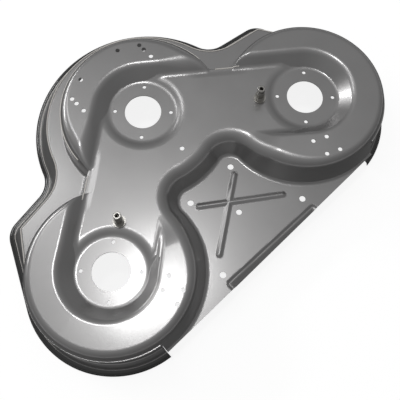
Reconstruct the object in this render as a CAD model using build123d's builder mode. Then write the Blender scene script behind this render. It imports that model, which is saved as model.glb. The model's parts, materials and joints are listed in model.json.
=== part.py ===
"""Pressed steel deck of a ride-on lawn mower with three spindles, and its two belt idler studs.

Millimetres. The origin is the centre of the middle spindle bore, on the top face of the spindle seats.
+Y points to the front of the mower and +Z up.
"""

import os
from math import acos, atan2, cos, degrees, radians, sin, sqrt, tan

from build123d import *

# Sheet and levels, measured from the top face of the spindle seats
sheet = 2.5
trough_rise = 7.0
dome_rise = 29.0
base_drop = 47.0
flange_drop = 95.0
rim_drop = 107.0

# Spindle seats
spindle_x = 313.5
spindle_y = 243.0
seat_radius = 81.0
seat_slope = 24.0
bore_radius = 44.0
seat_bolt_circle = 67.5
seat_bolt_hole = 4.5
seat_bolt_count = 4
seat_bolt_angle = 45.0

# Belt trough, a strip along the lines from the middle spindle to the rear ones
trough_half = 91.0
trough_slope = 38.0
trough_core = 60.0
web_foot = 114.0
web_slope = 73.5
web_round = 6.0

# Drum walls: radius at the base level, slope from the horizontal and shoulder radius
front_foot = 212.0
front_slope = 72.0
front_round = 26.0
front_overlap = 20.0
side_foot = 212.0
side_slope = 66.0
side_round = 26.0
side_ledge = 0.6
valley_foot = 216.0
valley_slope = 62.0
valley_round = 36.0
valley_hollow = 35.0
valley_reach = 105.0

# Ramps that bring the rear crescents down to the trough: angle about the left spindle, share of the way down,
# slope of the wall, shoulder radius and foot. The wall leans more and its shoulder widens towards the valley.
crescent_start = 55.0
ramp_start = 190.0
ramp_end = 357.0
ramp_sections = [
    (ramp_start, 0.0, side_slope, side_round, side_foot),
    (230.0, 0.13, side_slope, side_round, side_foot),
    (270.0, 0.25, side_slope, side_round, side_foot),
    (305.0, 0.36, 65.0, 27.0, 213.0),
    (335.0, 0.48, 62.0, 34.0, 215.0),
    (ramp_end, 1.0, valley_slope, valley_round, valley_foot),
]

# Plan outline of the shelf edge, the skirt foot and the lip, as radii about shared centres
shelf_front, skirt_front, lip_front = 242.0, 269.0, 283.0
shelf_side, skirt_side, lip_side = 196.0, 203.5, 217.5
shelf_lobe, skirt_lobe, lip_lobe = 14.0, 34.0, 48.0
lip_notch = 60.0
lobe_x = 392.0
lobe_y = 20.0
lobe_front_slope = 9.0
rear_edge = 452.0
rim_end_x = 340.0

# Crossed rib and stepped edge of the rear plate
rib_height = 5.0
rib_width = 16.0
rib_slope = 45.0
rib_front = (66.0, 252.0)
rib_rear = (113.0, 378.0)
step_depth = 4.0
step_half = 141.0
step_front = 432.0
step_corner = 8.0

# Fixing holes: radius, then x and distance from the origin along Y
crescent_hole = 4.5
crescent_holes = [(59.0, 154.5), (107.5, 129.0), (107.5, 112.5), (107.5, 86.5)]
ramp_hole = 4.0
ramp_holes = [(231.0, -341.5), (261.5, -355.5), (230.0, -385.5), (260.0, -399.0)]
plate_hole = 6.0
plate_holes = [(67.0, -236.5), (133.0, -413.0)]
middle_hole = 5.0
middle_hole_y = 138.0
plate_middle_y = 332.0

# Idler studs
stud_x = 226.0
stud_y = 172.0
stud_flange_radius = 15.0
stud_flange_height = 5.0
stud_collar_radius = 11.5
stud_collar_height = 14.0
stud_shaft_radius = 9.0
stud_height = 48.0
stud_groove_depth = 1.2
stud_groove_width = 2.0
stud_groove_below_tip = 6.0
stud_tap_radius = 4.2
stud_tap_depth = 24.0
stud_edge = 1.0
stud_spigot_radius = 7.5
stud_hole_clearance = 0.1
stud_head_radius = 12.0
stud_head_height = 3.0

# Reach of the solids past the faces that they are joined to or cut through
toe = 10.0
past = 30.0
lap = 1.0

middle = Vector(0, 0)
left = Vector(-spindle_x, -spindle_y)
lobe = Vector(-lobe_x, -lobe_y)
leg_length = left.length
to_middle = (middle - left).normalized()
leg_front = Vector(-to_middle.Y, to_middle.X)


def polar(angle):
    """Unit vector at an angle in degrees from +X."""
    return Vector(cos(radians(angle)), sin(radians(angle)))


def corner_shift(inset, slope):
    """Sideways shift of the corner between a level face and a wall when both move in by inset."""
    return inset * tan(radians(slope) / 2)


def arc_between(centre, start, end, radius):
    """Shorter arc about centre from start to end."""
    middle_way = ((start - centre).normalized() + (end - centre).normalized()).normalized()
    return ThreePointArc(start, centre + middle_way * radius, end)


def outline(front, side, lobe_radius, notch, rear):
    """Plan outline: middle drum, concave notch, front lobe and rear drum on each side, open at the back."""
    lobe_way = lobe - left
    side_angle = degrees(atan2(lobe_way.Y, lobe_way.X) + acos((side - lobe_radius) / lobe_way.length))
    side_way = polar(side_angle)
    line_way = polar(lobe_front_slope)
    line_normal = polar(90 + lobe_front_slope)
    line_height = lobe.dot(line_normal) + lobe_radius
    reach = sqrt((front + notch) ** 2 - (line_height + notch) ** 2)
    notch_centre = line_normal * (line_height + notch) - line_way * reach
    rim_end = Vector(-rim_end_x, left.Y - sqrt(side**2 - (left.X + rim_end_x) ** 2))
    on_side = left + side_way * side
    on_lobe = lobe + side_way * lobe_radius
    on_line = lobe + line_normal * lobe_radius
    in_notch = notch_centre - line_normal * notch
    on_front = notch_centre.normalized() * front
    with BuildSketch() as plan:
        with BuildLine():
            Polyline((0, -rear), (-rim_end_x, -rear), rim_end)
            arc_between(left, rim_end, on_side, side)
            Line(on_side, on_lobe)
            arc_between(lobe, on_lobe, on_line, lobe_radius)
            Line(on_line, in_notch)
            arc_between(notch_centre, in_notch, on_front, notch)
            arc_between(middle, on_front, Vector(0, front), front)
            mirror(about=Plane.YZ)
        make_face()
    return plan.sketch


def wall_profile(top, foot, slope, rounding, inner, inset):
    """Section of a drum or web, out from its axis: level top, round shoulder, sloping wall to the base."""
    top_z = top - inset
    base_z = -base_drop - inset
    base_foot = foot - corner_shift(inset, slope)
    corner = base_foot - (top_z - base_z) / tan(radians(slope))
    radius = rounding - inset
    tangent = radius * tan(radians(slope) / 2)
    level_end = Vector(corner - tangent, top_z)
    arc_middle = level_end + Vector(sin(radians(slope) / 2), cos(radians(slope) / 2) - 1) * radius
    wall_start = Vector(corner, top_z) + polar(-slope) * tangent
    wall_end = Vector(base_foot, base_z) + polar(-slope) * (toe / sin(radians(slope)))
    with BuildSketch() as section:
        with BuildLine():
            Polyline(wall_end, (inner, wall_end.Y), (inner, top_z), level_end)
            ThreePointArc(level_end, arc_middle, wall_start)
            Line(wall_start, wall_end)
        make_face()
    return section.sketch


def flared_profile(floor, half, slope, top, inset):
    """Half section of a cut with a level floor and a wall that leans outwards."""
    floor_z = floor - inset
    floor_half = half + corner_shift(inset, slope)
    top_z = top - inset
    with BuildSketch() as section:
        with BuildLine():
            Polyline(
                (0, floor_z),
                (floor_half, floor_z),
                (floor_half + (top_z - floor_z) / tan(radians(slope)), top_z),
                (0, top_z),
                close=True,
            )
        make_face()
    return section.sketch


def radial_plane(centre, angle):
    """Upright plane through a spindle axis: X leads out from the axis and Y up."""
    return Plane(centre, x_dir=polar(angle), z_dir=polar(angle - 90))


def leg_planes():
    """Upright planes across the left leg of the trough, for its front and its rear half."""
    return Plane(left, x_dir=leg_front, z_dir=to_middle), Plane(middle, x_dir=-leg_front, z_dir=-to_middle)


def rim_limit(inset):
    """Upright body inside which the drums stay, so that a narrow ledge is left along the side of the shelf."""
    shrink = side_ledge + inset
    with BuildPart() as limit:
        with BuildSketch(Plane.XY.offset(-rim_drop)):
            notch = lip_notch + lip_front - shelf_front + shrink
            rear = rear_edge + 4 * past
            add(outline(shelf_front - shrink, shelf_side - shrink, shelf_lobe - shrink, notch, rear))
        extrude(amount=rim_drop + dome_rise + past)
    return limit.part


def valley_line():
    """Foot of the valley wall: round the left drum, back round a hollow between the drums, round the middle drum."""
    to_left, to_centre = valley_foot + valley_hollow, front_foot + valley_hollow
    along = (to_centre**2 - to_left**2 + leg_length**2) / (2 * leg_length)
    hollow = to_middle * -along - leg_front * sqrt(to_centre**2 - along**2)
    start = left + polar(ramp_end) * valley_foot
    on_left = left + (hollow - left).normalized() * valley_foot
    on_middle = hollow.normalized() * front_foot
    with BuildLine() as line:
        arc_between(left, start, on_left, valley_foot)
        arc_between(hollow, on_left, on_middle, valley_hollow)
        arc_between(middle, on_middle, Vector(0, -front_foot), front_foot)
    return line.line


def left_drum(inset):
    """Left rear drum with its ramped crescent, and the web and valley wall from it to the middle drum."""
    core = seat_radius - toe
    axis = Axis(left, (0, 0, 1))
    crescent = wall_profile(dome_rise, side_foot, side_slope, side_round, core, inset)
    web = wall_profile(trough_rise, web_foot, web_slope, web_round, -trough_core, inset)
    valley = wall_profile(trough_rise, valley_foot, valley_slope, valley_round, valley_foot - valley_reach, inset)
    front_plane = leg_planes()[0]
    ramp = []
    for angle, share, slope, rounding, foot in ramp_sections:
        top = dome_rise + (trough_rise - dome_rise) * share
        ramp.append((angle, wall_profile(top, foot, slope, rounding, core, inset)))
    with BuildPart() as drum:
        with BuildSketch(radial_plane(left, crescent_start)):
            add(crescent)
        revolve(axis=axis, revolution_arc=ramp_start - crescent_start)
        with BuildSketch(radial_plane(left, ramp_end)):
            add(valley)
        sweep(path=valley_line())
        for angle, section in ramp:
            with BuildSketch(radial_plane(left, angle)):
                add(section)
        loft()
        with BuildSketch(Plane.XY.offset(-base_drop - toe)):
            with Locations(left, middle):
                Circle(valley_foot - valley_reach + lap)
        extrude(amount=base_drop + toe + trough_rise - inset)
        with BuildSketch(front_plane):
            add(web)
        extrude(amount=leg_length)
        add(rim_limit(inset), mode=Mode.INTERSECT)
    return drum.part


def left_trough(inset, floor, narrower=0.0):
    """Left leg of the trough above a floor level, and its ends round the two spindles."""
    half = trough_half - narrower + (floor - trough_rise) / tan(radians(trough_slope))
    section = flared_profile(floor, half, trough_slope, dome_rise + past, inset)
    front_plane, rear_plane = leg_planes()
    with BuildPart() as trough:
        for plane in (front_plane, rear_plane):
            with BuildSketch(plane):
                add(section)
            extrude(amount=leg_length)
        for centre in (left, middle):
            with BuildSketch(radial_plane(centre, 0)):
                add(section)
            revolve(axis=Axis(centre, (0, 0, 1)))
    return trough.part


def seat_recess(centre, troughs, inset):
    """Shallow round recess at a spindle, inside the trough's walls, which run on down to it."""
    section = flared_profile(0, seat_radius, seat_slope, trough_rise + lap, inset)
    with BuildPart() as recess:
        with BuildSketch(radial_plane(centre, 0)):
            add(section)
        revolve(axis=Axis(centre, (0, 0, 1)))
        with BuildPart(mode=Mode.INTERSECT):
            for trough in troughs:
                add(trough)
    return recess.part


def skirt(inset, rear):
    """Body under the shelf: sloping skirt, flange and lip."""
    drop = flange_drop - base_drop
    slopes = [
        degrees(atan2(drop, foot - edge))
        for foot, edge in ((skirt_front, shelf_front), (skirt_side, shelf_side), (skirt_lobe, shelf_lobe))
    ]
    front_in, side_in, lobe_in = (corner_shift(inset, slope) for slope in slopes)
    shelf_notch = lip_notch + lip_front - shelf_front + front_in
    skirt_notch = lip_notch + lip_front - skirt_front + front_in
    shelf_plan = outline(shelf_front - front_in, shelf_side - side_in, shelf_lobe - lobe_in, shelf_notch, rear)
    skirt_plan = outline(skirt_front - front_in, skirt_side - side_in, skirt_lobe - lobe_in, skirt_notch, rear)
    lip_plan = outline(lip_front - inset, lip_side - inset, lip_lobe - inset, lip_notch + inset, rear)
    lip_bottom = rim_drop + (past if inset else 0)
    with BuildPart() as body:
        with BuildSketch(Plane.XY.offset(-flange_drop - inset)):
            add(skirt_plan)
        with BuildSketch(Plane.XY.offset(-base_drop - inset)):
            add(shelf_plan)
        loft(ruled=True)
        with BuildSketch(Plane.XY.offset(-lip_bottom)):
            add(lip_plan)
        extrude(amount=lip_bottom - flange_drop - inset)
    return body.part


def rear_plate_form(inset):
    """Crossed rib that stands on the rear plate."""
    width = rib_width - 2 * corner_shift(inset, rib_slope) + 2 * sheet / tan(radians(rib_slope))
    start, end = Vector(-rib_front[0], -rib_front[1]), Vector(rib_rear[0], -rib_rear[1])
    run = end - start
    with BuildPart() as ribs:
        with BuildSketch(Plane.XY.offset(-base_drop - inset - sheet)):
            with Locations((start + end) * 0.5):
                SlotCenterToCenter(run.length - rib_width, width, rotation=degrees(atan2(run.Y, run.X)))
        extrude(amount=rib_height + sheet, taper=90 - rib_slope)
        mirror(about=Plane.YZ)
    return ribs.part


def edge_step(inset):
    """Space above the stepped-down middle of the rear edge."""
    with BuildPart() as step:
        with BuildSketch(Plane.XY.offset(-base_drop - step_depth - inset)):
            with BuildLine():
                Polyline(
                    (-step_half - inset, -rear_edge - 2 * past),
                    (-step_half - inset, -step_front + inset),
                    (step_half + inset, -step_front + inset),
                    (step_half + inset, -rear_edge - 2 * past),
                    close=True,
                )
            make_face()
        extrude(amount=step_depth + inset + lap)
        fillet(step.edges().filter_by(Axis.Z).group_by(Axis.Y)[-1], step_corner + inset)
    return step.part


def deck_form(inset):
    """Solid under the top face of the sheet, or under its lower face when inset by the sheet."""
    rear = rear_edge + past + (past if inset else 0)
    side = left_drum(inset)
    trough = left_trough(inset, trough_rise)
    deep_trough = left_trough(inset, -toe, lap / 2)
    side_seat = seat_recess(left, [deep_trough], inset)
    middle_seat = seat_recess(middle, [deep_trough, mirror(deep_trough, about=Plane.YZ)], inset)
    middle_front = wall_profile(dome_rise, front_foot, front_slope, front_round, 0, inset)
    with BuildPart() as form:
        add(skirt(inset, rear))
        with BuildSketch(radial_plane(middle, -front_overlap)):
            add(middle_front)
        revolve(axis=Axis.Z, revolution_arc=180 + 2 * front_overlap)
        add(side)
        add(mirror(side, about=Plane.YZ, mode=Mode.PRIVATE))
        add(rear_plate_form(inset))
        add(trough, mode=Mode.SUBTRACT)
        add(mirror(trough, about=Plane.YZ, mode=Mode.PRIVATE), mode=Mode.SUBTRACT)
        add(middle_seat, mode=Mode.SUBTRACT)
        add(side_seat, mode=Mode.SUBTRACT)
        add(mirror(side_seat, about=Plane.YZ, mode=Mode.PRIVATE), mode=Mode.SUBTRACT)
        add(edge_step(inset), mode=Mode.SUBTRACT)
    return form.part


def both_sides(places):
    """Places on the right and their mirror images on the left."""
    return [(side * x, y) for x, y in places for side in (1, -1)]


spindles = [(0, 0), (-spindle_x, -spindle_y), (spindle_x, -spindle_y)]
studs = {"idler_stud_left": (-stud_x, -stud_y), "idler_stud_right": (stud_x, -stud_y)}

# Deck shell: one pressing of even thickness, with its rear edge cut square and its holes punched
upper_form = deck_form(0)
lower_form = deck_form(sheet)
with BuildPart() as deck_shell:
    add(upper_form)
    with BuildSketch(Plane.XY.offset(-rim_drop - past)):
        with Locations((0, -rear_edge)):
            Rectangle(2 * rim_end_x, 4 * past, align=(Align.CENTER, Align.MAX))
    extrude(amount=rim_drop + 2 * past, mode=Mode.SUBTRACT)
    add(lower_form, mode=Mode.SUBTRACT)
    with Locations(*[(x, y, dome_rise) for x, y in spindles]):
        Hole(bore_radius)
        with PolarLocations(seat_bolt_circle, seat_bolt_count, start_angle=seat_bolt_angle):
            Hole(seat_bolt_hole)
    with Locations(*[(x, y, dome_rise) for x, y in both_sides(crescent_holes)]):
        Hole(crescent_hole)
    with Locations(*[(x, y, dome_rise) for x, y in both_sides(ramp_holes)]):
        Hole(ramp_hole)
    with Locations(*[(x, y, dome_rise) for x, y in both_sides(plate_holes)]):
        Hole(plate_hole)
    with Locations((0, -middle_hole_y, dome_rise), (0, -plate_middle_y, dome_rise)):
        Hole(middle_hole)
    with Locations(*[(x, y, dome_rise) for x, y in studs.values()]):
        Hole(stud_spigot_radius + stud_hole_clearance)
deck_shell.part.label = "deck_shell"

# Idler studs: turned steel, seated on the trough floor and riveted under it
os.makedirs("parts", exist_ok=True)
export_step(deck_shell.part, "parts/deck_shell.step")
for stud_name, (x, y) in studs.items():
    foot = trough_rise
    tip = foot + stud_height
    under = foot - sheet
    groove = tip - stud_groove_below_tip
    collar = foot + stud_flange_height + stud_collar_height
    with BuildPart() as stud:
        with BuildSketch(Plane((x, y, 0), x_dir=(1, 0, 0), z_dir=(0, -1, 0))):
            with BuildLine():
                Polyline(
                    (0, under - stud_head_height),
                    (stud_head_radius - stud_edge, under - stud_head_height),
                    (stud_head_radius, under - stud_head_height + stud_edge),
                    (stud_head_radius, under),
                    (stud_spigot_radius, under),
                    (stud_spigot_radius, foot),
                    (stud_flange_radius, foot),
                    (stud_flange_radius, foot + stud_flange_height),
                    (stud_collar_radius, foot + stud_flange_height),
                    (stud_collar_radius, collar),
                    (stud_shaft_radius, collar),
                    (stud_shaft_radius, groove - stud_groove_width),
                    (stud_shaft_radius - stud_groove_depth, groove - stud_groove_width),
                    (stud_shaft_radius - stud_groove_depth, groove),
                    (stud_shaft_radius, groove),
                    (stud_shaft_radius, tip - stud_edge),
                    (stud_shaft_radius - stud_edge, tip),
                    (stud_tap_radius + stud_edge, tip),
                    (stud_tap_radius, tip - stud_edge),
                    (stud_tap_radius, tip - stud_tap_depth),
                    (0, tip - stud_tap_depth - stud_tap_radius / 2),
                    close=True,
                )
            make_face()
        revolve(axis=Axis((x, y, 0), (0, 0, 1)))
    stud.part.label = stud_name
    export_step(stud.part, f"parts/{stud_name}.step")
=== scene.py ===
import json

import bpy
import numpy as np
from mathutils import Euler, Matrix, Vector


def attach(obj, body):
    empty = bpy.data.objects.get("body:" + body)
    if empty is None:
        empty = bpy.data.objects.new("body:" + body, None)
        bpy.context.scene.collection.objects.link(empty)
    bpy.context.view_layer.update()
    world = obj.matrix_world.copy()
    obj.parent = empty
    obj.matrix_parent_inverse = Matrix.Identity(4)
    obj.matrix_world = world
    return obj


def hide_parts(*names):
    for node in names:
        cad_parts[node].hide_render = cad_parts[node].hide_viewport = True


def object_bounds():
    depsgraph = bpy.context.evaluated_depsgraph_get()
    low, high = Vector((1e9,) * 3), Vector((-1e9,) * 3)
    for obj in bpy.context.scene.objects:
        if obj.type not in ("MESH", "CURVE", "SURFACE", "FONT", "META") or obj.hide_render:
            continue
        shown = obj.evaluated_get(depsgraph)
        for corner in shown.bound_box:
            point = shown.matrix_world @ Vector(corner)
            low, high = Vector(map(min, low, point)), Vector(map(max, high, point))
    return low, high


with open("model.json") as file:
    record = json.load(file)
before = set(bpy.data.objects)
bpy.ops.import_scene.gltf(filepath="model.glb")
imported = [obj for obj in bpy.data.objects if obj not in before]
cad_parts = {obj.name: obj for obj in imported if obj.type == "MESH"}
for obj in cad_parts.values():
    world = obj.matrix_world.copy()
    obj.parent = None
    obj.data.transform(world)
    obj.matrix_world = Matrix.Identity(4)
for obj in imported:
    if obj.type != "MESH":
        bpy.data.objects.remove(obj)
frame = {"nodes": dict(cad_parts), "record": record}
cadLow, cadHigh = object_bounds()
mounts = {mount["name"]: mount for mount in frame["record"]["mounts"]}
mm = 0.001
print("frame loaded, nodes:", sorted(frame["nodes"]))


# Driving sizes of the pressing, in millimetres from the top face of the spindle seats
deck = {
    "sheet": 2.5,
    "troughRise": 7.0,
    "domeRise": 29.0,
    "baseDrop": 47.0,
    "flangeDrop": 95.0,
    "rimDrop": 107.0,
    "gridPitch": 2.2,
    "snap": 0.55,  # share of the pitch within which a grid point moves onto an edge
    "trianglesKept": 165000,
}

seat = {"radius": 81.0, "slope": 24.0, "reach": 110.0, "footBlend": 2.5, "rimBlend": 4.0, "wallFade": 6.0}

# Belt trough; on the middle drum its upper edge softens from tipFrom to tipTo along the leg, and on a side
# drum no blend takes more than a share of the depth
trough = {"half": 90.0, "rampHalf": 88.5, "slope": 40.0, "footRound": 22.0, "topBlend": 7.0,
          "tipBlend": 18.0, "tipFrom": 50.0, "tipTo": 130.0, "rampBlend": 6.0, "blendShare": 0.9}

# Front wall of the web between two drums; the floor leans a little towards it over the lean's width
web = {"foot": 114.0, "slope": 73.5, "round": 5.0, "footRound": 8.0, "blend": 8.0, "blendDepth": 14.0,
       "lean": 1.5, "leanStart": 73.0, "leanWidth": 17.0,
       "leanFrom": 110.0, "leanTo": 280.0, "leanFade": 40.0}

# The foot bounds the valley behind the drum, and the front foot its own wall
middleDrum = {"foot": 212.0, "frontFoot": 203.0, "slope": 84.0, "round": (18.0, 22.0, 32.0),
              "roundAngles": (115.0, 135.0, 162.0), "footRound": 4.0}

valley = {"foot": 216.0, "slope": 62.0, "round": 36.0, "hollow": 35.0, "footRound": 10.0}

# Left drum by angle about its spindle: the crescent, then a long ramp that drops to the trough at its nose
sideDrum = {
    "footRound": 10.0,
    "crescentStart": 55.0,
    "rampStart": 190.0,
    "rampFall": 11.0,
    "noseStart": 338.0,
    "rampEnd": 367.0,
    "wrap": 30.0,
    "angles": (0.0, 270.0, 305.0, 335.0, 357.0),
    "foot": (204.5, 204.5, 208.0, 214.0, 216.0),
    "slope": (76.0, 76.0, 72.0, 64.0, 62.0),
    "round": (20.0, 20.0, 24.0, 33.0, 36.0),
}

rib = {"height": 3.8, "width": 17.0, "slope": 28.0, "topRound": 5.0, "footRound": 4.0,
       "front": (66.0, -252.0), "rear": (113.0, -378.0)}

# Step in the rear edge, which comes nearer to the edge on the right; past it the edge rolls down
edgeStep = {"depth": 4.0, "half": 141.0, "front": (-432.0, -439.0), "corner": 8.0, "run": 7.0,
            "rollStart": 6.5, "rollSlope": 35.0, "rollBlend": 2.0}

# Plan outlines as radii about shared centres: shelf edge, skirt foot and lip
rim = {
    "front": (242.0, 269.0, 283.0),
    "side": (196.0, 203.5, 217.5),
    "lobe": (9.0, 35.0, 51.0),
    "notch": 60.0,
    "lobeCentre": (-392.0, -16.0),
    "lobeFrontSlope": 9.0,
    "rearEdge": 452.0,
    "endX": 340.0,
    "ledge": 0.5,
    "ledgeRound": 0.3,
    "bead": 2.4,
    "beadRound": 0.7,
    "beadRise": 12.0,  # height over the shelf at which the bead has its full width
    "shelfRound": 6.5,
    "shelfRoundSide": 0.4,
    "roundGain": 2.5,  # how soon the shelf's bend gets its full round as the skirt widens
    "footRound": 6.0,
    "lipRound": 10.5,
    "stretches": (412.0, 160.0, 45.0, 90.0, 50.0, 370.0),  # rough lengths, for the number of points
    "pitch": 4.5,
    "arcSteps": 7,
}

holes = {
    "boltAngles": (45.0, 135.0, 225.0, 315.0),
    "crescentRadius": 5.5,
    "crescent": ((59.0, 154.5), (107.5, 129.0), (107.5, 112.5), (107.5, 86.5)),
    "rampRadius": 5.2,
    "ramp": ((231.0, -341.5), (261.5, -355.5), (230.0, -385.5), (260.0, -399.0)),
    "plateRadius": 7.5,
    "plate": ((67.0, -236.5), (133.0, -413.0)),
    "middleRadius": (5.6, 7.0),
    "middle": ((0.0, -138.0), (0.0, -332.0)),
    "studRadius": 7.6,
}

leftSpindle = np.array(mounts["left_spindle_bore"]["pos_m"][:2]) / mm
spindles = np.array([m["pos_m"][:2] for n, m in mounts.items() if n.endswith("spindle_bore")]) / mm
studs = np.array([m["pos_m"][:2] for n, m in mounts.items() if n.endswith("idler_shaft")]) / mm
boreRadius = mounts["centre_spindle_bore"]["dims"]["r_mm"]
boltCircle = mounts["centre_spindle_bolts"]["dims"]["pcd_mm"] / 2
boltHole = mounts["centre_spindle_bolts"]["dims"]["hole_r_mm"]
legLength = np.hypot(*leftSpindle)
legWay = leftSpindle / legLength  # from the middle spindle to the left one
legFront = np.array([legWay[1], -legWay[0]])  # points to the front of that leg
mirrored = np.array([-1, 1])  # left half to right half in plan


def wayAt(angle):  # unit vector at an angle in degrees
    return np.array([np.cos(np.radians(angle)), np.sin(np.radians(angle))])


def smoothMin(a, b, k):  # lower of two heights, joined by a parabola where they differ by less than k
    k = np.maximum(k, 1e-6)
    h = np.clip(0.5 + 0.5 * (b - a) / k, 0, 1)
    return b + (a - b) * h - k * h * (1 - h)


def smoothMax(a, b, k):  # higher of two heights, joined in the same way
    return -smoothMin(-a, -b, k)


def smoothStep(t):  # cubic from 0 to 1 with level ends
    t = np.clip(t, 0, 1)
    return t * t * (3 - 2 * t)


# Height of a wall section at distance r: level top, arc, straight slope, arc, level base
def wallHeight(r, top, base, foot, slope, roundTop, roundFoot):
    a = np.radians(slope)
    corner = foot - (top - base) / np.tan(a)
    topRun = roundTop * np.tan(a / 2)
    footRun = roundFoot * np.tan(a / 2)
    levelEnd, wallStart = corner - topRun, corner + topRun * np.cos(a)
    wallEnd, levelStart = foot - footRun * np.cos(a), foot + footRun
    topArc = top - roundTop + np.sqrt(np.maximum(roundTop**2 - (r - levelEnd) ** 2, 0))
    footArc = base + roundFoot - np.sqrt(np.maximum(roundFoot**2 - (levelStart - r) ** 2, 0))
    slopeLine = base + (foot - r) * np.tan(a)
    z = np.where(r < wallStart, topArc, slopeLine)
    z = np.where(r < levelEnd, top, z)
    z = np.where(r > wallEnd, footArc, z)
    return np.where(r > levelStart, base, z)


def segmentDistance(p, a, b):  # distance of points p to the line from a to b
    run = b - a
    t = np.clip(((p - a) @ run) / (run @ run), 0, 1)
    return np.hypot(*(p - a - t[..., None] * run).T).T


def troughHeight(d, half):  # level floor out to half its width, then an arc and a slope of constant angle
    a = np.radians(trough["slope"])
    run = trough["footRound"] * np.tan(a / 2)
    start, end = half - run, half + run * np.cos(a)
    arc = trough["footRound"] - np.sqrt(np.maximum(trough["footRound"] ** 2 - (d - start) ** 2, 0))
    return deck["troughRise"] + np.where(d < start, 0, np.where(d < end, arc, (d - half) * np.tan(a)))


# Distance past the foot of the valley wall, which runs round the left drum, back round a hollow that
# touches both drums, and round the middle drum
def valleyDistance(p):
    toMiddle, toLeft = middleDrum["foot"] + valley["hollow"], valley["foot"] + valley["hollow"]
    along = (toMiddle**2 - toLeft**2 + legLength**2) / (2 * legLength)
    centre = legWay * along - legFront * np.sqrt(toMiddle**2 - along**2)
    v = p - centre

    def leftOf(way, q):
        return way[0] * q[..., 1] - way[1] * q[..., 0]

    between = (leftOf(-centre, v) > 0) & (leftOf(leftSpindle - centre, v) < 0)
    q = p - leftSpindle
    outside = np.minimum(np.hypot(p[..., 0], p[..., 1]) - middleDrum["foot"],
                         np.hypot(q[..., 0], q[..., 1]) - valley["foot"])
    return np.where(between, valley["hollow"] - np.hypot(v[..., 0], v[..., 1]), outside)


# Union of two bodies, with a soft inner corner that fades out at the trough's level and the base
def joinWalls(a, b):
    higher = np.maximum(a, b)
    below, above = deck["troughRise"] - higher, higher + deck["baseDrop"]
    return smoothMax(a, b, web["blend"] * np.clip(np.minimum(below, above) / web["blendDepth"], 0, 1))


# Fall of the trough's floor towards the front wall: a smooth step across the leg, faded at both ends
def floorLean(along, side, legDistance):
    fadeIn = smoothStep((along - web["leanFrom"]) / web["leanFade"])
    fadeOut = smoothStep((web["leanTo"] - along) / web["leanFade"])
    across = smoothStep((legDistance - web["leanStart"]) / web["leanWidth"])
    return web["lean"] * (fadeIn * fadeOut) * across * (side > 0)


# Middle drum: a wall section turned about its spindle, with a shoulder that widens to the tip, less the
# trough
def middleDrumHeight(p, along, troughTop):
    r = np.hypot(p[..., 0], p[..., 1])
    angle = np.degrees(np.arctan2(p[..., 1], p[..., 0])) % 360
    rounding = np.interp(angle, middleDrum["roundAngles"], middleDrum["round"])
    drum = wallHeight(r, deck["domeRise"], -deck["baseDrop"], middleDrum["frontFoot"],
                      middleDrum["slope"], rounding, middleDrum["footRound"])
    tip = trough["tipFrom"], trough["tipTo"]
    return smoothMin(drum, troughTop, np.interp(along, tip, (trough["topBlend"], trough["tipBlend"])))


# Left drum: a wall section by angle about its spindle, its top falling down the ramp, less the trough.
# The second result tells where the drum stands up.
def sideDrumHeight(p, legDistance, lean):
    low, high = deck["troughRise"], deck["domeRise"]
    q = p - leftSpindle
    r = np.hypot(q[..., 0], q[..., 1])
    angle = (np.degrees(np.arctan2(q[..., 1], q[..., 0])) - sideDrum["wrap"]) % 360 + sideDrum["wrap"]
    turnsBack = angle > sideDrum["angles"][-1]  # there the wall follows the valley
    r = np.where(turnsBack, valleyDistance(p) + valley["foot"], r)
    start, nose, end = sideDrum["rampStart"], sideDrum["noseStart"], sideDrum["rampEnd"]
    fall = sideDrum["rampFall"] * np.clip((angle - start) / (end - start), 0, 1)
    top = high - fall - (high - low - sideDrum["rampFall"]) * smoothStep((angle - nose) / (end - nose))
    slope = np.interp(angle, sideDrum["angles"], sideDrum["slope"])
    rounding = np.interp(angle, sideDrum["angles"], sideDrum["round"])
    foot = np.interp(angle, sideDrum["angles"], sideDrum["foot"])
    drum = wallHeight(r, top, -deck["baseDrop"], foot, slope, rounding, sideDrum["footRound"])
    blend = np.interp(angle, (start, nose), (trough["topBlend"], trough["rampBlend"]))
    blend = np.minimum(blend, trough["blendShare"] * (top - low))
    half = np.interp(angle, (start, nose), (trough["half"], trough["rampHalf"]))
    crescent = smoothMin(drum, troughHeight(legDistance, half) - lean, blend)
    return crescent, (angle > sideDrum["crescentStart"]) & (angle < end)


# Spindle seats sunk into a height: a level disc in a cone, with the trough's wall running on down to it
def sinkSeats(z, p, legDistance):
    wall = deck["troughRise"] + (legDistance - trough["half"]) * np.tan(np.radians(trough["slope"]))
    for centre in (np.zeros(2), leftSpindle):
        r = np.hypot(p[..., 0] - centre[0], p[..., 1] - centre[1])
        rise = (r - seat["radius"]) * np.tan(np.radians(seat["slope"]))
        cone = smoothMax(rise, 0 * r, seat["footBlend"])
        blend = seat["rimBlend"] * smoothStep((cone - wall) / seat["wallFade"])
        z = np.where(r < seat["reach"], smoothMin(z, np.maximum(cone, wall), blend), z)
    return z


def ribHeight(p):  # wall section over the distance to the nearer of two crossed lines
    front, rear = np.array(rib["front"]) * mirrored, np.array(rib["rear"])
    trim = (rear - front) / np.hypot(*(rear - front)) * rib["width"] / 2
    ends = front + trim, rear - trim
    d = np.minimum(segmentDistance(p, *ends), segmentDistance(p * mirrored, *ends))
    return wallHeight(d, rib["height"], 0.0, rib["width"] / 2, rib["slope"], rib["topRound"],
                      rib["footRound"])


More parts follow.
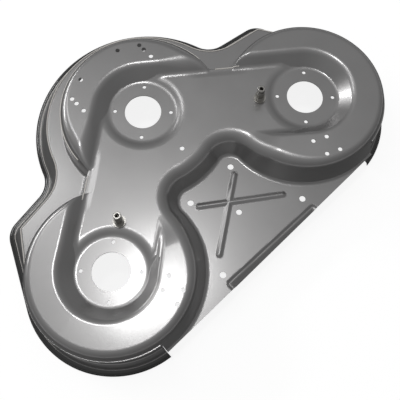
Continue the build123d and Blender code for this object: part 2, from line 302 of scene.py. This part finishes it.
# Rear edge lowered: a smooth step at the side of a rectangle with round corners, then a slope inside it
def lowerRearEdge(z, x, y):
    front = np.interp(x, (-edgeStep["half"], edgeStep["half"]), edgeStep["front"])
    qx, qy = np.abs(x) - edgeStep["half"] + edgeStep["corner"], y - front + edgeStep["corner"]
    atCorner = np.hypot(np.maximum(qx, 0), np.maximum(qy, 0))
    outside = atCorner + np.minimum(np.maximum(qx, qy), 0) - edgeStep["corner"]
    past = smoothMax(-outside - edgeStep["rollStart"], 0 * z, edgeStep["rollBlend"])
    roll = np.tan(np.radians(edgeStep["rollSlope"])) * past
    return z - edgeStep["depth"] * smoothStep(0.5 - outside / edgeStep["run"]) - roll


# Top face of the pressing as a height over the plan: drums, web and valley wall joined, less the trough
# and the seats, plus the crossed rib, less the step in the rear edge. Both halves are worked out on the
# left one.
def deckHeight(x, y):
    p = np.stack([-np.abs(x), y], -1)
    base, low = -deck["baseDrop"], deck["troughRise"]
    along, side = p @ legWay, p @ legFront
    legDistance = np.hypot(side, along - np.clip(along, 0, legLength))
    lean = floorLean(along, side, legDistance)
    middlePart = middleDrumHeight(p, along, troughHeight(legDistance, trough["half"]) - lean)
    crescent, raised = sideDrumHeight(p, legDistance, lean)
    webWall = wallHeight(legDistance, low - lean, base, web["foot"], web["slope"], web["round"],
                         web["footRound"])
    frontPart = joinWalls(joinWalls(middlePart, np.where(raised, crescent, base)), webWall)
    valleyPart = wallHeight(valleyDistance(p), low, base, 0.0, valley["slope"], valley["round"],
                            valley["footRound"])
    z = np.where(side > 0, frontPart, np.where(raised, crescent, valleyPart))
    return lowerRearEdge(sinkSeats(z, p, legDistance) + ribHeight(p), x, y)


def deckNormal(x, y, step=0.4):  # upward normal of the top face from central differences
    gx = (deckHeight(x + step, y) - deckHeight(x - step, y)) / (2 * step)
    gy = (deckHeight(x, y + step) - deckHeight(x, y - step)) / (2 * step)
    n = np.stack([-gx, -gy, np.ones_like(gx)], -1)
    return n / np.linalg.norm(n, axis=-1, keepdims=True)


# Left half of a plan outline from the rim's end round to the front: arc, line, arc, line, hollow arc, arc
def outlineHalf(front, side, lobeRadius, notch):
    lobe = np.array(rim["lobeCentre"])
    lobeWay = lobe - leftSpindle
    reach = np.hypot(*lobeWay)
    sideAngle = np.degrees(np.arctan2(lobeWay[1], lobeWay[0]) + np.arccos((side - lobeRadius) / reach))
    lineAngle = 90 + rim["lobeFrontSlope"]
    lineNormal, lineWay = wayAt(lineAngle), wayAt(rim["lobeFrontSlope"])
    height = lobe @ lineNormal + lobeRadius
    inward = np.sqrt((front + notch) ** 2 - (height + notch) ** 2)
    notchCentre = lineNormal * (height + notch) - lineWay * inward
    notchAngle = np.degrees(np.arctan2(notchCentre[1], notchCentre[0]))
    endAngle = 180 + np.degrees(np.arccos((rim["endX"] + leftSpindle[0]) / side))
    counts = [max(4, round(length / rim["pitch"])) for length in rim["stretches"]]

    def arc(centre, radius, a, b, n):
        t = np.radians(np.linspace(a, b, n, endpoint=False))
        return centre + radius * np.stack([np.cos(t), np.sin(t)], -1)

    def line(a, b, n):
        return a + (b - a) * np.linspace(0, 1, n, endpoint=False)[:, None]

    onSide, onLobe = leftSpindle + side * wayAt(sideAngle), lobe + lobeRadius * wayAt(sideAngle)
    onLine, inNotch = lobe + lobeRadius * lineNormal, notchCentre - notch * lineNormal
    return np.concatenate([
        arc(leftSpindle, side, endAngle, sideAngle, counts[0]),
        line(onSide, onLobe, counts[1]),
        arc(lobe, lobeRadius, sideAngle, lineAngle, counts[2]),
        line(onLine, inNotch, counts[3]),
        arc(notchCentre, notch, lineAngle + 180, notchAngle + 180, counts[4]),
        arc(np.zeros(2), front, notchAngle, 90.0, counts[5]),
        [[0.0, front]],
    ])


def bothHalves(points):  # left half, then its mirror image back to the right end
    return np.concatenate([points, points[-2::-1] * mirrored])


outlines = []
for front, side, lobeRadius in zip(rim["front"], rim["side"], rim["lobe"]):
    notch = rim["notch"] + rim["front"][-1] - front  # the hollow arcs share one centre
    outlines.append(bothHalves(outlineHalf(front, side, lobeRadius, notch)))
shelfLine, skirtLine, lipLine = outlines
skirtRun = np.hypot(*(skirtLine - shelfLine).T)
skirtSlope = np.arctan2(deck["flangeDrop"] - deck["baseDrop"], skirtRun)
flangeRun = np.hypot(*(lipLine - skirtLine).T)
widening = (skirtRun - skirtRun.min()) / (skirtRun.max() - skirtRun.min())
roundShare = np.clip(widening * rim["roundGain"], 0, 1)
shelfRound = rim["shelfRoundSide"] + (rim["shelfRound"] - rim["shelfRoundSide"]) * roundShare
shelfRun = shelfRound * np.tan(skirtSlope / 2)
outWay = (skirtLine - shelfLine) / skirtRun[:, None]
ledgeRun = shelfRun + rim["ledge"]
overShelf = deckHeight(*(shelfLine - outWay * ledgeRun[:, None]).T) + deck["baseDrop"]
beadShare = np.clip(overShelf / rim["beadRise"], 0, 1)  # a drum's side ends in a narrow level bead
panelLine = shelfLine - outWay * (ledgeRun + rim["bead"] * beadShare)[:, None]
print("outlines:", len(panelLine), "points round the rim")


def signedDistance(p, line):  # distance to a closed line, positive on its left, and the nearest point on it
    a, b = line, np.roll(line, -1, 0)
    run = b - a
    size = (run**2).sum(-1)
    nearest, best, sign = np.zeros_like(p), np.full(len(p), 1e9), np.zeros(len(p))
    for i in range(len(a)):  # one pass for each edge of the outline
        if size[i] < 1e-12:
            continue
        t = np.clip(((p - a[i]) @ run[i]) / size[i], 0, 1)
        foot = a[i] + t[:, None] * run[i]
        d = ((p - foot) ** 2).sum(-1)
        closer = d < best - 1e-12
        best[closer], nearest[closer] = d[closer], foot[closer]
        turn = run[i, 0] * (p[:, 1] - a[i, 1]) - run[i, 1] * (p[:, 0] - a[i, 0])
        sign[closer] = np.sign(turn[closer])
    return np.sqrt(best) * sign, nearest


def meshFromArrays(name, points, quads, tris=np.zeros((0, 3), int)):  # points in metres
    mesh = bpy.data.meshes.new(name)
    loops = np.concatenate([quads.ravel(), tris.ravel()])
    starts = np.concatenate([np.arange(len(quads)) * 4, len(quads) * 4 + np.arange(len(tris)) * 3])
    mesh.vertices.add(len(points))
    mesh.vertices.foreach_set("co", points.astype(np.float32).ravel())
    mesh.loops.add(len(loops))
    mesh.loops.foreach_set("vertex_index", loops.astype(np.int32))
    mesh.polygons.add(len(starts))
    mesh.polygons.foreach_set("loop_start", starts.astype(np.int32))
    mesh.update(calc_edges=True)
    mesh.validate()
    return mesh


def readArray(items, name, width=1, kind=float):  # one property of all items, a row for each
    values = np.zeros(len(items) * width, kind)
    items.foreach_get(name, values)
    return values.reshape(-1, width)


def holeList():  # centre x, centre y and radius of every hole in the panel
    found = [(*c, boreRadius) for c in spindles]
    for c in spindles:
        found += [(*(c + boltCircle * wayAt(angle)), boltHole) for angle in holes["boltAngles"]]
    for key in ("crescent", "ramp", "plate"):
        found += [(side * x, y, holes[key + "Radius"]) for x, y in holes[key] for side in (1, -1)]
    found += [(*c, radius) for c, radius in zip(holes["middle"], holes["middleRadius"])]
    return found + [(*c, holes["studRadius"]) for c in studs]


# Square grid over a closed line, with the points near the line or a hole moved onto it. The results are
# the points, whether each is on the sheet, and their numbers by row and column.
def snappedGrid(edge):
    pitch, snap = deck["gridPitch"], deck["snap"] * deck["gridPitch"]
    low, high = edge.min(0) - pitch, edge.max(0) + pitch
    nx, ny = (np.ceil((high - low) / pitch)).astype(int) + 1
    gx, gy = np.meshgrid(low[0] + pitch * np.arange(nx), low[1] + pitch * np.arange(ny), indexing="ij")
    p = np.stack([gx.ravel(), gy.ravel()], -1)
    inward, nearest = signedDistance(p, edge)
    d = -inward
    near = np.abs(d) < snap
    p[near], d[near] = nearest[near], 0
    for cx, cy, radius in holeList():
        v = p - (cx, cy)
        far = np.hypot(*v.T)
        gap = radius - far
        near = np.abs(gap) < snap
        p[near] = (cx, cy) + v[near] * (radius / far[near])[:, None]
        gap[near] = 0
        d = np.maximum(d, gap)
    return p, d < 1e-6, np.arange(nx * ny).reshape(nx, ny)


def openEdges(quads, tris, count):  # edges of one face only, in that face's direction
    pairs = np.concatenate([quads[:, [0, 1]], quads[:, [1, 2]], quads[:, [2, 3]], quads[:, [3, 0]],
                            tris[:, [0, 1]], tris[:, [1, 2]], tris[:, [2, 0]]])
    keys = np.sort(pairs, 1)
    index, uses = np.unique(keys[:, 0] * count + keys[:, 1], return_index=True, return_counts=True)[1:]
    return pairs[index[uses == 1]]


# Panel: the height over the grid, the same face one sheet's thickness below it along the normal, and walls
# along the open edges
def panelArrays():
    rear = [[rim["endX"], -rim["rearEdge"]], [-rim["endX"], -rim["rearEdge"]]]
    p, inside, ids = snappedGrid(np.concatenate([panelLine, rear])[::-1])
    cells = np.stack([ids[:-1, :-1], ids[1:, :-1], ids[1:, 1:], ids[:-1, 1:]], -1).reshape(-1, 4)
    count = inside[cells].sum(-1)
    quads = cells[count == 4]
    partial = cells[count == 3]
    tris = partial[inside[partial]].reshape(-1, 3)
    used, packed = np.unique(np.concatenate([quads.ravel(), tris.ravel()]), return_inverse=True)
    quads, tris = packed[:quads.size].reshape(-1, 4), packed[quads.size:].reshape(-1, 3)
    x, y = p[used].T
    top = np.stack([x, y, deckHeight(x, y)], -1)
    bottom = top - deckNormal(x, y) * deck["sheet"]
    n = len(top)
    border = openEdges(quads, tris, n)
    walls = np.stack([border[:, 1], border[:, 0], border[:, 0] + n, border[:, 1] + n], -1)
    return (np.concatenate([top, bottom]), np.concatenate([quads, quads[:, ::-1] + n, walls]),
            np.concatenate([tris, tris[:, ::-1] + n]))


# Section of the rim at each outline point, as distance out from the shelf edge and height: upright wall
# where a drum stands over the shelf, ledge, shelf bend, skirt, bend to the flange, flange, bend to the lip,
# lip, and back one sheet's thickness inside
def rimSection():
    steps = np.linspace(0, 1, rim["arcSteps"])[None, :]
    slope, radius, bead = skirtSlope[:, None], shelfRound[:, None], beadShare[:, None]
    ledge, skirt, flange = ledgeRun[:, None], skirtRun[:, None], flangeRun[:, None]
    footRun = rim["footRound"] * np.tan(slope / 2)
    zero = np.zeros((len(panelLine), 1))

    def at(a, z, turn):  # distance out, height and the turn of the normal from upright
        return np.stack([a + 0 * turn, z + 0 * turn, turn], -1)

    wallTop = deckHeight(*panelLine.T)[:, None]
    tilt = np.arccos(deckNormal(*panelLine.T)[:, 2:])
    rise = np.clip((wallTop + deck["baseDrop"]) / (3 * rim["ledgeRound"]), 0, 1)
    ledgeRound = rim["ledgeRound"] * rise
    wallStart = at(-ledge - rim["bead"] * bead, wallTop, tilt)
    turn = np.pi / 2 * steps * rise + tilt * (1 - bead)
    fall = rim["beadRound"] * bead
    beadEdge = at(-ledge - fall * (1 - np.sin(turn)), wallTop - fall * (1 - np.cos(turn)), turn)
    down = np.pi / 2 * rise * (1 - steps)
    wallFoot = at(-ledge + ledgeRound * (1 - np.sin(down)),
                  -deck["baseDrop"] + ledgeRound * (1 - np.cos(down)), down)
    bend = slope * steps
    shelfBend = at(-shelfRun[:, None] + radius * np.sin(bend),
                   -deck["baseDrop"] - radius * (1 - np.cos(bend)), bend)
    back = slope * (1 - steps)
    footBend = at(skirt + footRun - rim["footRound"] * np.sin(back),
                  -deck["flangeDrop"] + rim["footRound"] * (1 - np.cos(back)), back)
    over = np.pi / 2 * steps + zero
    lipBend = at(skirt + flange - rim["lipRound"] + rim["lipRound"] * np.sin(over),
                 -deck["flangeDrop"] - rim["lipRound"] * (1 - np.cos(over)), over)
    lipEnd = at(skirt + flange, -deck["rimDrop"] + zero, np.pi / 2 + zero)
    section = np.concatenate([wallStart, beadEdge, wallFoot, shelfBend, footBend, lipBend, lipEnd], 1)
    a, z, turn = section[..., 0], section[..., 1], section[..., 2]
    inner = np.stack([a - deck["sheet"] * np.sin(turn), z - deck["sheet"] * np.cos(turn)], -1)
    inner[:, -1, 1] = -deck["rimDrop"]
    return np.concatenate([section[..., :2], inner[:, ::-1]], 1)


# Rim: the section carried round the outlines, out to the skirt's foot one way and on to the lip another,
# with a cap at both ends
def rimArrays():
    ring = rimSection()
    n, m = ring.shape[:2]
    share = np.clip((ring[..., 0] - skirtRun[:, None]) / flangeRun[:, None], 0, 1)
    outFlange = (lipLine - skirtLine) / flangeRun[:, None]
    plan = shelfLine[:, None] + outWay[:, None] * np.minimum(ring[..., 0], skirtRun[:, None])[..., None]
    plan = plan + outFlange[:, None] * (share * flangeRun[:, None])[..., None]
    points = np.concatenate([plan, ring[..., 1:]], -1).reshape(-1, 3)
    i, j = np.meshgrid(np.arange(n - 1), np.arange(m), indexing="ij")
    k = (j + 1) % m
    quads = np.stack([i * m + j, i * m + k, (i + 1) * m + k, (i + 1) * m + j], -1).reshape(-1, 4)
    j = np.arange(m // 2 - 1)
    cap = np.stack([j, m - 1 - j, m - 2 - j, j + 1], -1)
    return points, np.concatenate([quads, cap[:, ::-1], cap + (n - 1) * m])


def linkObject(name, data):
    made = bpy.data.objects.new(name, data)
    bpy.context.scene.collection.objects.link(made)
    return made


def thinned(mesh, share):  # fewer triangles where the sheet is flat, as points and triangles
    helper = linkObject("helper", mesh)
    helper.modifiers.new("thin", "DECIMATE").ratio = share
    graph = bpy.context.evaluated_depsgraph_get()
    done = bpy.data.meshes.new_from_object(helper.evaluated_get(graph))
    bpy.data.objects.remove(helper)
    done.calc_loop_triangles()
    return readArray(done.vertices, "co", 3), readArray(done.loop_triangles, "vertices", 3, np.int32)


# Limits as cosines: a face past the first one is level, and on the sheet and the rim a corner takes a
# smooth normal that lies within the limit of its flat one
shading = {"level": 0.99995, "sheet": 0.6, "rim": 0.8}


# Shading normals: those of the height function on both faces of the sheet, and flat ones on its cut edges
def setPanelNormals(mesh, panelCount):
    points = readArray(mesh.vertices, "co", 3) / mm
    loops = readArray(mesh.loops, "vertex_index", kind=np.int32)[:, 0]
    totals = readArray(mesh.polygons, "loop_total", kind=np.int32)[:, 0]
    flat = np.repeat(readArray(mesh.polygons, "normal", 3), totals, 0)
    upper = deckNormal(points[:, 0], points[:, 1])
    shifted = points[:, :2] + upper[:, :2] * deck["sheet"]
    lower = -deckNormal(*shifted.T)
    smooth = np.where((flat[:, 2] > 0)[:, None], upper[loops], lower[loops])
    isLevel = np.abs(flat[:, 2]) > shading["level"]
    smooth = np.where(isLevel[:, None], flat, smooth)  # level faces stay level at a bend
    onSheet = ((smooth * flat).sum(-1) > shading["sheet"]) & (loops < panelCount)
    rounded = readArray(mesh.vertices, "normal", 3)[loops]
    onRim = (loops >= panelCount) & ((rounded * flat).sum(-1) > shading["rim"])
    normals = np.where(onSheet[:, None], smooth, np.where(onRim[:, None], rounded, flat))
    mesh.polygons.foreach_set("use_smooth", np.ones(len(mesh.polygons), bool))
    mesh.normals_split_custom_set(normals.astype(np.float32).tolist())


def makeDeck():
    points, quads, tris = panelArrays()
    full = meshFromArrays("panel", points * mm, quads, tris)
    share = deck["trianglesKept"] / (2 * len(quads) + len(tris))
    panelPoints, panelTris = thinned(full, min(share, 1.0))
    rimPoints, rimQuads = rimArrays()
    mesh = meshFromArrays("deck_pressing", np.concatenate([panelPoints, rimPoints * mm]),
                          rimQuads + len(panelPoints), panelTris)
    setPanelNormals(mesh, len(panelPoints))
    print("deck pressing:", len(mesh.polygons), "faces from", len(quads), "grid cells")
    return linkObject("deck_pressing", mesh)


# Painted highlights: pale raised beads standing in for the bright lines on the shoulder of the middle drum,
# the front edges of the web, and both bends of the skirt
highlightBead = {
    "radius": 1.5,
    "sides": 8,
    "pitch": 4.0,
    "drum": 196.0,
    "drumAngles": (2.0, 178.0),
    "web": 95.4,
    "webAlong": (186.0, 246.0),
    "shelfRear": -100.0,
    "shelfInset": 0.3,
    "shelfDrop": 0.5,
    "footRise": 0.6,
    "footRadius": 0.9,
    "footEnds": 3,  # outline points left bare at both ends of the skirt
    # pale colour of the painted highlights
    "colour": "#efebe5",
    "roughness": 0.3,
}


def sweptBead(line, z, radius):  # circle carried along a line of plan points at the heights z
    run = np.gradient(line, axis=0)
    out = np.stack([run[:, 1], -run[:, 0]], -1) / np.hypot(*run.T)[:, None]
    turn = 2 * np.pi * np.arange(highlightBead["sides"]) / highlightBead["sides"]
    plan = line[:, None] + radius * np.cos(turn)[:, None] * out[:, None]
    height = z[:, None] + radius * np.sin(turn)
    points = np.concatenate([plan, height[..., None]], -1).reshape(-1, 3)
    ring = np.arange(highlightBead["sides"])
    after = np.roll(ring, -1)
    first = highlightBead["sides"] * np.arange(len(line) - 1)[:, None]
    quads = np.stack([first + ring, first + after, first + after + highlightBead["sides"],
                      first + ring + highlightBead["sides"]], -1).reshape(-1, 4)
    return points, quads


# beads of painted highlight along the drum's shoulder, the web's edges, the shelf edge and the skirt's foot
def makeHighlightBeads():
    first, last = np.radians(highlightBead["drumAngles"])
    turns = np.linspace(last, first, round(highlightBead["drum"] * (last - first) / highlightBead["pitch"]))
    shoulder = highlightBead["drum"] * np.stack([np.cos(turns), np.sin(turns)], -1)
    alongs = np.linspace(*highlightBead["webAlong"], round(np.ptp(highlightBead["webAlong"]) / highlightBead["pitch"]))
    edge = alongs[:, None] * legWay + highlightBead["web"] * legFront
    beads = [(line, deckHeight(*line.T), highlightBead["radius"]) for line in (shoulder, edge, edge * mirrored)]
    ahead = shelfLine[:, 1] > highlightBead["shelfRear"]  # the shelf shows only in front of the side drums
    shelf = (shelfLine - outWay * highlightBead["shelfInset"])[ahead]
    shelfHeight = -deck["baseDrop"] - highlightBead["shelfDrop"]
    beads.append((shelf, np.full(len(shelf), shelfHeight), highlightBead["radius"]))
    foot = skirtLine[highlightBead["footEnds"]:-highlightBead["footEnds"]]
    footHeight = highlightBead["footRise"] - deck["flangeDrop"]
    beads.append((foot, np.full(len(foot), footHeight), highlightBead["footRadius"]))
    points, quads = np.zeros((0, 3)), np.zeros((0, 4), int)
    for bead in beads:
        more, faces = sweptBead(*bead)
        quads = np.concatenate([quads, faces + len(points)])
        points = np.concatenate([points, more])
    mesh = meshFromArrays("painted_highlight_beads", points * mm, quads)
    mesh.polygons.foreach_set("use_smooth", np.ones(len(mesh.polygons), bool))
    print("highlight beads:", len(beads), "beads")
    return linkObject("painted_highlight_beads", mesh)


def linearColour(code):  # sRGB hex to the linear values that the shader takes
    c = np.array([int(code[i:i + 2], 16) for i in (1, 3, 5)]) / 255
    return (*np.where(c <= 0.04045, c / 12.92, ((c + 0.055) / 1.055) ** 2.4), 1.0)


def setInputs(tree, node, inputs):  # each input gets a link or a value
    for key, value in inputs.items():
        if isinstance(value, bpy.types.NodeSocket):
            tree.links.new(value, node.inputs[key])
        else:
            node.inputs[key].default_value = value


def addNode(tree, kind, settings=None, inputs=None):  # a node with its settings and links or values
    made = tree.nodes.new(kind)
    for key, value in (settings or {}).items():
        setattr(made, key, value)
    setInputs(tree, made, inputs or {})
    return made


def newFinish(name):  # a material, its node tree and its shader
    finish = bpy.data.materials.new(name)
    finish.use_nodes = True
    return finish, finish.node_tree, finish.node_tree.nodes["Principled BSDF"]


colourMix = {"data_type": "RGBA"}
mixFrom, mixTo, mixOut = 6, 7, 2  # colour sockets of a Mix node, whose names other sockets share

# Widths of the mottle and the peel in millimetres; real peel is finer, and would not show at this size
deckPaint = {
    "colour": "#a3a2a2",
    "darker": "#979696",
    "metallic": 0.95,
    "roughness": 0.31,
    "rougher": 0.36,
    "coat": 1.0,
    "coatRoughness": 0.15,
    "coatIndex": 1.8,
    "mottle": 90.0,
    "mottleDetail": 3.0,
    "peel": 5.0,
    "peelDetail": 2.0,
    "peelStrength": 0.003,
    "peelHeight": 1.0,
    # painted shade: black over the lip and the flange, below the two heights that follow
    "paintedLipShade": "#141414",
    "paintedShadeFrom": 93.4,
    "paintedShadeTo": 94.6,
}


# Gloss grey metallic paint on smooth pressed sheet: clear reflections and a trace of orange peel; the lip
# and the flange get painted shade, black laid on by height that stands in for a dark reflection
def makeDeckPaint():
    paint, tree, shader = newFinish("gloss_grey_paint")
    place = addNode(tree, "ShaderNodeTexCoord").outputs["Object"]
    mottle = addNode(tree, "ShaderNodeTexNoise", inputs={
        "Vector": place, "Scale": 1 / (deckPaint["mottle"] * mm), "Detail": deckPaint["mottleDetail"]})
    colour = addNode(tree, "ShaderNodeMix", colourMix, {
        "Factor": mottle.outputs["Fac"], mixFrom: linearColour(deckPaint["darker"]),
        mixTo: linearColour(deckPaint["colour"])})
    height = addNode(tree, "ShaderNodeSeparateXYZ", inputs={"Vector": place}).outputs["Z"]
    # where the painted shade lies: none above the flange, full from just under it down over the lip
    paintedShadeMask = addNode(tree, "ShaderNodeMapRange", inputs={
        "Value": height, "From Min": -deckPaint["paintedShadeFrom"] * mm, "From Max": -deckPaint["paintedShadeTo"] * mm})
    # paint colour with the painted shade laid over the lip and the flange
    coat = addNode(tree, "ShaderNodeMix", colourMix, {
        "Factor": paintedShadeMask.outputs["Result"], mixFrom: colour.outputs[mixOut],
        mixTo: linearColour(deckPaint["paintedLipShade"])})
    rough = addNode(tree, "ShaderNodeMapRange", inputs={
        "Value": mottle.outputs["Fac"], "To Min": deckPaint["roughness"], "To Max": deckPaint["rougher"]})
    peel = addNode(tree, "ShaderNodeTexNoise", inputs={
        "Vector": place, "Scale": 1 / (deckPaint["peel"] * mm), "Detail": deckPaint["peelDetail"]})
    bump = addNode(tree, "ShaderNodeBump", inputs={
        "Height": peel.outputs["Fac"], "Strength": deckPaint["peelStrength"],
        "Distance": deckPaint["peelHeight"] * mm})
    setInputs(tree, shader, {
        "Base Color": coat.outputs[mixOut], "Roughness": rough.outputs["Result"],
        "Normal": bump.outputs["Normal"], "Metallic": deckPaint["metallic"],
        "Coat Weight": deckPaint["coat"], "Coat Roughness": deckPaint["coatRoughness"],
        "Coat IOR": deckPaint["coatIndex"]})
    return paint


# Pale smooth paint on the beads, a painted highlight
def makePaintedHighlight():
    highlight_finish, tree, shader = newFinish("painted_highlight_paint")
    setInputs(tree, shader, {"Base Color": linearColour(highlightBead["colour"]),
                             "Roughness": highlightBead["roughness"]})
    return highlight_finish


# Spacing of the turning marks in millimetres; a wave texture's bands are about 0.3 / Scale apart
studSteel = {"colour": "#c9c7c3", "darker": "#8d8b87", "metallic": 1.0, "roughness": 0.22, "turning": 0.8,
             "bandScale": 0.3, "wander": 1.5, "markStrength": 0.2, "markHeight": 0.4}


# Turned steel, lightly oiled and darkened: fine rings from the tool
def makeStudSteel():
    steel, tree, shader = newFinish("turned_steel")
    place = addNode(tree, "ShaderNodeTexCoord").outputs["Object"]
    rings = addNode(tree, "ShaderNodeTexWave", {"bands_direction": "Z"}, {
        "Vector": place, "Scale": studSteel["bandScale"] / (studSteel["turning"] * mm),
        "Distortion": studSteel["wander"]})
    colour = addNode(tree, "ShaderNodeMix", colourMix, {
        "Factor": rings.outputs["Fac"], mixFrom: linearColour(studSteel["darker"]),
        mixTo: linearColour(studSteel["colour"])})
    bump = addNode(tree, "ShaderNodeBump", inputs={
        "Height": rings.outputs["Fac"], "Strength": studSteel["markStrength"],
        "Distance": studSteel["markHeight"] * mm})
    setInputs(tree, shader, {
        "Base Color": colour.outputs[mixOut], "Normal": bump.outputs["Normal"],
        "Metallic": studSteel["metallic"], "Roughness": studSteel["roughness"]})
    return steel


pressing = makeDeck()
highlightBeads = makeHighlightBeads()
for piece, finish in ((pressing, makeDeckPaint()), (highlightBeads, makePaintedHighlight())):
    piece.data.materials.append(finish)
    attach(piece, "root")
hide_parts("deck_shell")

studFinish = makeStudSteel()
for studName in ("idler_stud_left", "idler_stud_right"):
    studMesh = frame["nodes"][studName].data
    studMesh.materials.clear()
    studMesh.materials.append(studFinish)
print("pieces made")


floorPaper = {"size": 12.0, "colour": "#8f8f8f", "roughness": 0.9, "glow": 0.86}

# Glow of the studio by height, from straight down at 0 to straight up at 1, with a bright band round the
# horizon; towards the rear it fades, and past darkFrom only darkShare of it is left
studio = {
    "strength": 3.0,
    "darkFrom": -0.7,
    "darkShare": 0.75,
    "rise": ((0.0, 0.11), (0.42, 0.12), (0.48, 0.24), (0.50, 0.75), (0.53, 0.75), (0.56, 0.24),
             (0.75, 0.29), (1.0, 0.42)),
}

lamps = {  # place in metres, aim in metres, width, length, power in watts
    "frontStrip": ((-0.2, 3.95, 6.0), (-0.2, 3.95, 0.0), 1.2, 2.9, 30.0),
    "lowStrip": ((-1.5, 5.95, 2.8), (0.0, 0.0, 0.0), 4.0, 0.5, 80.0),
    "overheadSoftbox": ((0.30, 0.84, 6.0), (0.30, 0.84, 0.0), 1.0, 0.8, 35.0),
}


# Floor that glows a little, as paper on a light table
def makeFloor():
    half = floorPaper["size"] / 2
    corners = np.array([(-half, -half, cadLow.z), (half, -half, cadLow.z), (half, half, cadLow.z),
                        (-half, half, cadLow.z)])
    floor = linkObject("floor", meshFromArrays("floor", corners, np.array([[0, 1, 2, 3]])))
    paper, tree, shader = newFinish("pale_paper")
    setInputs(tree, shader, {
        "Base Color": linearColour(floorPaper["colour"]), "Roughness": floorPaper["roughness"],
        "Emission Color": (1.0, 1.0, 1.0, 1.0), "Emission Strength": floorPaper["glow"]})
    floor.data.materials.append(paper)
    floor.visible_glossy = False  # keeps the glow out of the paint


def makeStudio():
    world = bpy.data.worlds.new("studio")
    world.use_nodes = True
    tree = world.node_tree
    way = addNode(tree, "ShaderNodeTexCoord").outputs["Generated"]
    axes = addNode(tree, "ShaderNodeSeparateXYZ", inputs={"Vector": way}).outputs
    share = addNode(tree, "ShaderNodeMapRange", inputs={
        "Value": axes["Z"], "From Min": -1.0, "From Max": 1.0})
    strength = addNode(tree, "ShaderNodeMapRange", inputs={
        "Value": axes["Y"], "From Min": studio["darkFrom"], "From Max": 0.0,
        "To Min": studio["darkShare"] * studio["strength"], "To Max": studio["strength"]})
    ramp = addNode(tree, "ShaderNodeValToRGB", inputs={"Fac": share.outputs["Result"]})
    stops = ramp.color_ramp.elements
    for at, glow in studio["rise"]:
        stop = {0.0: stops[0], 1.0: stops[-1]}.get(at) or stops.new(at)
        stop.color = (glow / studio["strength"],) * 3 + (1.0,)
    setInputs(tree, tree.nodes["Background"], {"Color": ramp.outputs["Color"],
                                               "Strength": strength.outputs["Result"]})
    bpy.context.scene.world = world
    for name, (place, aim, width, length, power) in lamps.items():
        lamp = bpy.data.lights.new(name, "AREA")
        lamp.shape, lamp.size, lamp.size_y, lamp.energy = "RECTANGLE", width, length, power
        made = linkObject(name, lamp)
        made.location = place
        made.rotation_euler = (Vector(aim) - Vector(place)).to_track_quat("-Z", "Y").to_euler()


# Camera fitted to the bores and bolt holes: place in metres, turn in degrees, focal length in pixels of a
# frame 400 pixels wide
camera = {"place": (-0.3744, -0.5737, 1.2865), "turn": (19.173, -0.424, -43.923), "focal": 593.9,
          "frame": 400.0, "sensor": 36.0}


def makeCamera():
    made = linkObject("camera", bpy.data.cameras.new("camera"))
    made.data.sensor_width = camera["sensor"]
    made.data.lens = camera["focal"] / camera["frame"] * camera["sensor"]
    made.location = camera["place"]
    made.rotation_euler = Euler(np.radians(camera["turn"]))
    bpy.context.scene.camera = made


makeFloor()
makeStudio()
makeCamera()
bpy.context.scene.view_settings.view_transform = "Standard"
print("stage and camera made")
